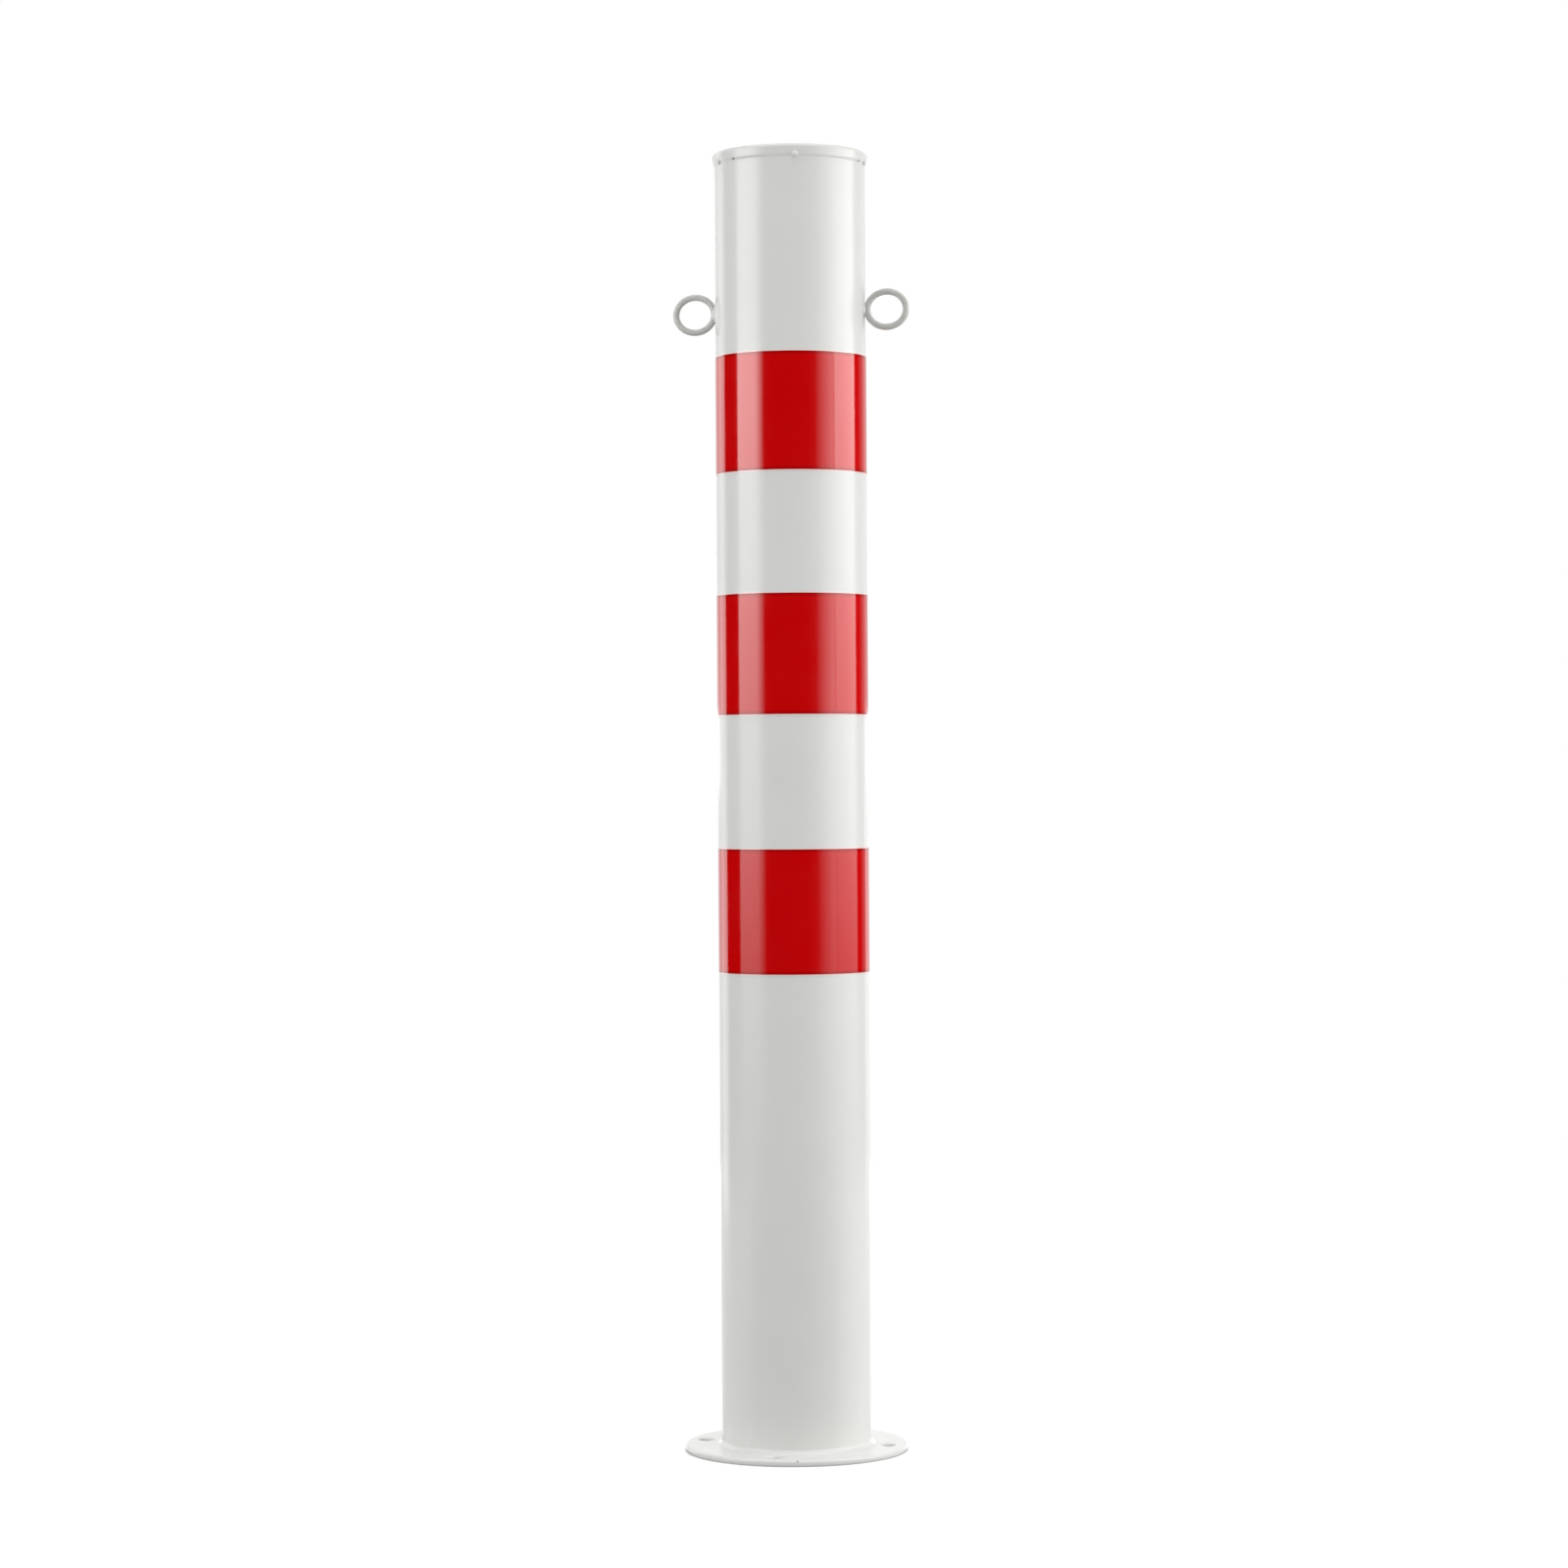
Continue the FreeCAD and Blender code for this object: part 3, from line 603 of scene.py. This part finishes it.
def turned(name, outline, steps):
    """An object turned about Z from a closed outline of radius and height points."""
    shape = bmesh.new()
    turns = [FULL_TURN * step / steps for step in range(steps)]
    rings = []
    for radius, height in outline:
        spots = [(radius * math.cos(turn), radius * math.sin(turn), height) for turn in turns]
        rings.append([shape.verts.new(spot) for spot in (spots if radius else spots[:1])])
    for ring, following in zip(rings, rings[1:] + rings[:1]):
        for step in range(steps):
            corners = [ring[step % len(ring)], ring[(step + 1) % len(ring)],
                       following[(step + 1) % len(following)], following[step % len(following)]]
            corners = list(dict.fromkeys(corners))
            if len(corners) > 2:
                shape.faces.new(corners)
    bmesh.ops.recalc_face_normals(shape, faces=shape.faces)
    mesh = bpy.data.meshes.new(name)
    shape.to_mesh(mesh)
    shape.free()
    return new_object(name, mesh)


def stand_in(item, node):
    """Puts a finished piece in the place of its CAD solid."""
    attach(item, BODY)
    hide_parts(node)


def around_post(radius, turn, level):
    """A place round the post, turned from the front towards +X."""
    return Vector((radius * math.sin(turn), -radius * math.cos(turn), level))


def rim_chip(finish):
    """The spot on the plate's rim that has lost its paint."""
    drop, size = finish.chip_drop, finish.chip_size
    return around_post(PLATE_RADIUS - drop, finish.chip_turn, PLATE_TOP - drop), size, size


def seam_gap_shadows(finish):
    """Two short dark marks in the joint under the cap's skirt: painted shadow where the seam opens, in the
    colour of unpainted steel.
    """
    radius, level = (TUBE_RADIUS + CAP_RADIUS) / 2, CAP_FOOT + finish.gap_shadow_height
    return [(around_post(radius, turn, level), finish.gap_shadow_width, finish.gap_shadow_height)
            for turn in (finish.left_gap_shadow_turn, finish.right_gap_shadow_turn)]


def material_for(context, name):
    """The material of this name, made when the first piece asks for it."""
    finish = context.scene.bollard_finish
    makers = {
        "post_powder_coat": lambda: powder_coat(finish, name),
        "plate_powder_coat": lambda: powder_coat(finish, name, gaps=[rim_chip(finish)]),
        # The cap's paint carries painted shadow at two openings of its seam
        "cap_powder_coat": lambda: powder_coat(finish, name, gaps=seam_gap_shadows(finish)),
        # The eyes' grey is painted shade over white paint
        "eye_powder_coat": lambda: powder_coat(finish, name, colours=(finish.eye_grey, finish.eye_shaded_thin)),
        "red_gloss_film": lambda: gloss_film(finish, name),
    }
    return bpy.data.materials.get(name) or makers[name]()


class BOLLARD_OT_base_plate(Operator):
    """Round anchor plate with drilled holes and edges rounded by the paint"""

    bl_idname = "bollard.base_plate"
    bl_label = "Base plate"

    def execute(self, context):
        form = context.scene.bollard_form
        plate = grow("base_plate_painted", drilled_disc_tree(), radius=PLATE_RADIUS, thickness=PLATE_TOP,
                     hole_circle=ANCHORS["pcd_mm"] * MM / 2, hole_radius=ANCHORS["hole_r_mm"] * MM,
                     holes=ANCHORS["count"], rim_edge=form.plate_edge, hole_edge=form.hole_edge,
                     foot_edge=form.plate_foot_edge, finish=material_for(context, "plate_powder_coat"))
        plate.data.shade_smooth()
        plate.modifiers.new("flat_faces", "WEIGHTED_NORMAL").keep_sharp = True
        make_plain(plate)
        stand_in(plate, "base_plate")
        return {"FINISHED"}


class BOLLARD_OT_post_tube(Operator):
    """Hollow steel post"""

    bl_idname = "bollard.post_tube"
    bl_label = "Post tube"

    def execute(self, context):
        form = context.scene.bollard_form
        bore = TUBE_RADIUS - form.tube_wall
        deburr = form.cap_bend - form.cap_sheet
        outline = [(bore, TUBE_FOOT), (TUBE_RADIUS, TUBE_FOOT), (TUBE_RADIUS, TUBE_HEAD - deburr),
                   (TUBE_RADIUS - deburr, TUBE_HEAD), (bore, TUBE_HEAD)]
        tube = smooth(turned("post_tube_painted", outline, form.turn_steps))
        tube.data.materials.append(material_for(context, "post_powder_coat"))
        stand_in(tube, "post_tube")
        return {"FINISHED"}


class BOLLARD_OT_foot_weld(Operator):
    """Rippled fillet weld between the post and its plate"""

    bl_idname = "bollard.foot_weld"
    bl_label = "Foot weld"

    def execute(self, context):
        form = context.scene.bollard_form
        root, hollow = form.weld_root, form.weld_hollow
        to_centre = WELD_LEG / 2 + math.sqrt(hollow ** 2 / 2 - WELD_LEG ** 2 / 4)
        centre = (TUBE_RADIUS + to_centre, TUBE_FOOT + to_centre)
        half = math.degrees(math.asin(WELD_LEG / math.sqrt(2) / hollow))
        to_joint = 180 + 45
        outline = [(TUBE_RADIUS - root, TUBE_FOOT - root), (TUBE_RADIUS + WELD_LEG, TUBE_FOOT - root),
                   *arc(centre, hollow, to_joint + half, to_joint - half, steps=10),
                   (TUBE_RADIUS - root, TUBE_FOOT + WELD_LEG)]
        bead = turned("foot_weld_bead", outline, form.bead_steps)
        ripples = round(FULL_TURN * TUBE_RADIUS / form.ripple_pitch)
        reshape(bead, weld_ripple_tree(), ripples=float(ripples), ripple_height=form.ripple_height,
                unevenness=form.bead_wander, grain=form.bead_grain,
                finish=material_for(context, "post_powder_coat"))
        stand_in(smooth(bead), "foot_weld")
        return {"FINISHED"}


class BOLLARD_OT_top_cap(Operator):
    """Pressed pan cap with a rounded rim and a short skirt"""

    bl_idname = "bollard.top_cap"
    bl_label = "Top cap"

    def execute(self, context):
        form = context.scene.bollard_form
        bend, sheet, hem, seam = form.cap_bend, form.cap_sheet, form.cap_hem, CAP_FOOT + form.cap_seam
        hem_centre = (CAP_RADIUS - form.cap_crimp - hem, seam)
        rim = (CAP_RADIUS - bend, CAP_TOP - bend)
        outline = [(CAP_RADIUS - sheet, seam), (TUBE_RADIUS, seam), (TUBE_RADIUS, CAP_FOOT),
                   *arc(hem_centre, hem, -math.degrees(form.cap_hem_turn), 0, steps=4),
                   *arc(rim, bend, 0, 90, steps=12),
                   (rim[0] - hem, CAP_TOP), (0, CAP_TOP), (0, CAP_TOP - sheet),
                   *arc(rim, bend - sheet, 90, 0, steps=6)]
        cap = smooth(turned("top_cap_pressed", list(dict.fromkeys(outline)), form.turn_steps))
        cap.data.materials.append(material_for(context, "cap_powder_coat"))
        stand_in(cap, "top_cap")
        return {"FINISHED"}


class BOLLARD_OT_cap_tacks(Operator):
    """Tack welds that hold the cap's skirt to the post"""

    bl_idname = "bollard.cap_tacks"
    bl_label = "Cap tack welds"

    def execute(self, context):
        form = context.scene.bollard_form
        low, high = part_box("cap_tack_welds")
        reach = CAP_RADIUS + form.tack_proud - TUBE_RADIUS
        size = Vector((reach, form.tack_width / 2, (high.z - low.z) / 2))
        tacks = grow("cap_tack_beads", weld_lumps_tree(), count=form.tack_count,
                     first_turn=form.tack_turn + FRONT, circle=TUBE_RADIUS, level=(low.z + high.z) / 2,
                     size=size, unevenness=form.weld_lumps, grain=form.lump_grain,
                     finish=material_for(context, "post_powder_coat"))
        stand_in(smooth(tacks), "cap_tack_welds")
        return {"FINISHED"}


class BOLLARD_OT_chain_eyes(Operator):
    """Bent bar eyes for a chain, one on each side, with the welds that hold them"""

    bl_idname = "bollard.chain_eyes"
    bl_label = "Chain eyes"

    def execute(self, context):
        form = context.scene.bollard_form
        link, lumps = bent_link_tree(), weld_lumps_tree()
        for side, turn in (("left", FULL_TURN / 2), ("right", 0.0)):
            low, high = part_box(f"{side}_chain_eye")
            half, bar = (high - low) / 2, (high.y - low.y) / 2
            eye = grow(f"{side}_chain_eye_bar", link, bar_radius=bar, half_width=half.x - bar,
                       half_height=half.z - bar, centre=(low + high) / 2,
                       finish=material_for(context, "eye_powder_coat"))
            stand_in(smooth(eye), f"{side}_chain_eye")
            low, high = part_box(f"{side}_eye_weld")
            reach = max(abs(low.x), abs(high.x)) - TUBE_RADIUS
            weld = grow(f"{side}_eye_weld_bead", lumps, count=1, first_turn=turn, circle=TUBE_RADIUS,
                        level=(low.z + high.z) / 2,
                        size=Vector((reach, (high.y - low.y) / 2, (high.z - low.z) / 2)),
                        unevenness=form.weld_lumps, grain=form.lump_grain,
                        finish=material_for(context, "post_powder_coat"))
            stand_in(smooth(weld), f"{side}_eye_weld")
        return {"FINISHED"}


class BOLLARD_OT_film_bands(Operator):
    """Three bands of red film wrapped round the post"""

    bl_idname = "bollard.film_bands"
    bl_label = "Film bands"

    def execute(self, context):
        form = context.scene.bollard_form
        tree = wrapped_film_tree()
        for name in ("upper", "middle", "lower"):
            low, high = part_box(f"{name}_band")
            band = grow(f"{name}_film_band", tree, radius=high.x - form.film_thickness, foot=low.z,
                        height=high.z - low.z, lap=form.film_lap, ramp=form.film_ramp,
                        thickness=form.film_thickness, finish=material_for(context, "red_gloss_film"))
            stand_in(smooth(band), f"{name}_band")
        return {"FINISHED"}


def add_floor(studio):
    """A round of white paper that only the camera sees: room and panels alone light the post."""
    shape = bmesh.new()
    bmesh.ops.create_circle(shape, cap_ends=True, segments=FLOOR_STEPS, radius=studio.floor_radius)
    mesh = bpy.data.meshes.new("paper_floor")
    shape.to_mesh(mesh)
    shape.free()
    floor = new_object("paper_floor", mesh)
    mesh.materials.append(seamless_paper(studio))
    floor.visible_diffuse, floor.visible_glossy = False, False


def add_room(scene, studio):
    """White for the camera and even soft light for the paint, with nothing in reflections."""
    world = bpy.data.worlds.new("studio")
    scene.world = world
    world.use_nodes = True
    world.cycles_visibility.glossy = False
    tree = world.node_tree
    tree.nodes.clear()
    ray = add_node(tree, "ShaderNodeLightPath")
    room = add_node(tree, "ShaderNodeBackground", {"Strength": studio.room})
    sweep = add_node(tree, "ShaderNodeBackground", {"Strength": studio.sweep, "Color": opaque((1, 1, 1))})
    both = add_node(tree, "ShaderNodeMixShader", {0: ray.outputs["Is Camera Ray"], 1: room, 2: sweep})
    add_node(tree, "ShaderNodeOutputWorld", {"Surface": both})


def add_panel(name, turn, reach, foot, head, width, radiance, rise=0.0, fade_left=0.0, fade_right=0.0,
              diffuse=True, glossy=True):
    """An upright soft panel that faces the post, turned from +X, with the light it lends to paint and to
    gloss. It can fade in over a share of its height from the foot, and of its width from either side."""
    light = bpy.data.lights.new(name, "AREA")
    light.shape = "RECTANGLE"
    light.size, light.size_y = width, head - foot
    light.energy = radiance * PANEL_WATTS * width * (head - foot)
    light.use_nodes = True
    tree = light.node_tree
    tree.nodes.clear()
    spot = add_node(tree, "ShaderNodeSeparateXYZ",
                    {0: add_node(tree, "ShaderNodeNewGeometry").outputs["Parametric"]})
    strength = 1.0
    for axis, start, end in (("Y", 0, rise), ("X", 0, fade_left), ("X", 1, 1 - fade_right)):
        if start != end:
            ramp = add_node(tree, "ShaderNodeMapRange",
                            {"Value": spot.outputs[axis], "From Min": start, "From Max": end})
            strength = add_node(tree, "ShaderNodeMath", {0: ramp, 1: strength}, operation="MULTIPLY")
    add_node(tree, "ShaderNodeOutputLight",
             {0: add_node(tree, "ShaderNodeEmission", {"Strength": strength})})
    out = Vector((math.cos(turn), math.sin(turn), 0))
    middle = out * reach + Vector((0, 0, (foot + head) / 2))
    panel = new_object(name, light)
    panel.matrix_world = Matrix.Translation(middle) @ out.to_track_quat("Z", "Y").to_matrix().to_4x4()
    panel.visible_camera, panel.visible_diffuse, panel.visible_glossy = False, diffuse, glossy
    return panel


def add_panels(studio):
    """Strips that only gloss shows, soft panels that only paint takes, panels behind the post, the bounce of
    a white floor, and one panel overhead. Places and widths are in metres."""
    def seen_at(degrees):
        return studio.azimuth + FRONT + math.radians(degrees)

    add_panel("left_strip", seen_at(-65), reach=1.5, foot=0.1, head=1.5, width=1.27, radiance=3.95,
              rise=0.6, fade_right=0.3, diffuse=False)
    add_panel("right_strip", seen_at(89.5), reach=1.5, foot=0.1, head=1.5, width=1.19, radiance=3.1,
              rise=0.6, diffuse=False)
    add_panel("right_fill", seen_at(51.5), reach=1.5, foot=0.0, head=1.5, width=0.83, radiance=1.8,
              rise=0.4, fade_left=0.9, diffuse=False)

    add_panel("left_soft", seen_at(-64), reach=2.0, foot=0.1, head=1.6, width=1.2, radiance=2.15,
              glossy=False)
    add_panel("right_soft", seen_at(86), reach=2.0, foot=0.05, head=1.35, width=1.6, radiance=2.8,
              glossy=False)
    add_panel("right_near", seen_at(45), reach=2.0, foot=0.05, head=1.05, width=1.2, radiance=1.34,
              glossy=False)

    add_panel("back_panel", seen_at(161), reach=1.8, foot=0.5, head=1.8, width=0.97, radiance=0.6)
    add_panel("right_back", seen_at(134), reach=1.8, foot=0.0, head=1.8, width=0.765, radiance=0.5,
              fade_left=0.9, diffuse=False)
    add_panel("back_left", seen_at(-162), reach=1.8, foot=0.5, head=1.8, width=1.38, radiance=0.8,
              diffuse=False)
    add_panel("back_low", seen_at(180.5), reach=2.2, foot=0.0, head=0.6, width=3.5, radiance=0.81)
    add_panel("left_back", seen_at(-131), reach=1.8, foot=0.0, head=1.8, width=0.64, radiance=1.5,
              diffuse=False)

    for name, degrees, width, radiance in (("left_floor_bounce", -110, 2.0, 0.85),
                                           ("back_floor_bounce", 180, 1.39, 0.95),
                                           ("right_floor_bounce", 110, 2.0, 0.75)):
        add_panel(name, seen_at(degrees), reach=1.2, foot=-0.22, head=0.1, width=width, radiance=radiance,
                  diffuse=False)

    half = studio.top_side / 2
    overhead = add_panel("top_panel", 0, reach=0, foot=studio.top_height - half,
                         head=studio.top_height + half, width=studio.top_side, radiance=1.28)
    overhead.matrix_world = Matrix.Translation((0, 0, studio.top_height))


def add_camera(scene, studio):
    """The camera, level and turned a little about its line of sight."""
    camera = new_object("camera", bpy.data.cameras.new("camera"))
    camera.data.sensor_width = studio.sensor
    camera.data.lens = studio.lens
    back = around_post(1, studio.azimuth, 0)
    right = around_post(1, studio.azimuth + QUARTER_TURN, 0)
    up = Vector((0, 0, 1))
    facing = Matrix((right, up, back)).transposed() @ Matrix.Rotation(studio.roll, 3, "Z")
    place = back * studio.distance + right * studio.offset + up * studio.height
    camera.matrix_world = Matrix.Translation(place) @ facing.to_4x4()
    scene.camera = camera


class BOLLARD_OT_studio(Operator):
    """White paper floor, soft panel lights and the camera"""

    bl_idname = "bollard.studio"
    bl_label = "Studio"

    def execute(self, context):
        scene, studio = context.scene, context.scene.bollard_studio
        scene.view_settings.view_transform = "Standard"
        add_floor(studio)
        add_room(scene, studio)
        add_panels(studio)
        add_camera(scene, studio)
        return {"FINISHED"}


class VIEW3D_PT_bollard(Panel):
    """Sizes, finishes and making of the bollard"""

    bl_label = "Bollard"
    bl_space_type = "VIEW_3D"
    bl_region_type = "UI"
    bl_category = "Bollard"

    def draw(self, context):
        for group in (getattr(context.scene, name) for name in GROUPS):
            column = self.layout.column(align=True)
            for name in group.bl_rna.properties.keys():
                if name not in ("rna_type", "name"):
                    column.prop(group, name)
        for operator in OPERATORS:
            self.layout.operator(operator.bl_idname)


GROUPS = {"bollard_form": BollardForm, "bollard_finish": BollardFinish, "bollard_studio": BollardStudio}
OPERATORS = (BOLLARD_OT_base_plate, BOLLARD_OT_post_tube, BOLLARD_OT_foot_weld, BOLLARD_OT_top_cap,
             BOLLARD_OT_cap_tacks, BOLLARD_OT_chain_eyes, BOLLARD_OT_film_bands, BOLLARD_OT_studio)
CLASSES = (*GROUPS.values(), *OPERATORS, VIEW3D_PT_bollard)


def register():
    for item in CLASSES:
        bpy.utils.register_class(item)
    for name, group in GROUPS.items():
        setattr(bpy.types.Scene, name, PointerProperty(type=group))


def unregister():
    for name in GROUPS:
        delattr(bpy.types.Scene, name)
    for item in reversed(CLASSES):
        bpy.utils.unregister_class(item)


def main():
    register()
    for operator in OPERATORS:
        family, name = operator.bl_idname.split(".")
        getattr(getattr(bpy.ops, family), name)()


if __name__ == "__main__":
    main()
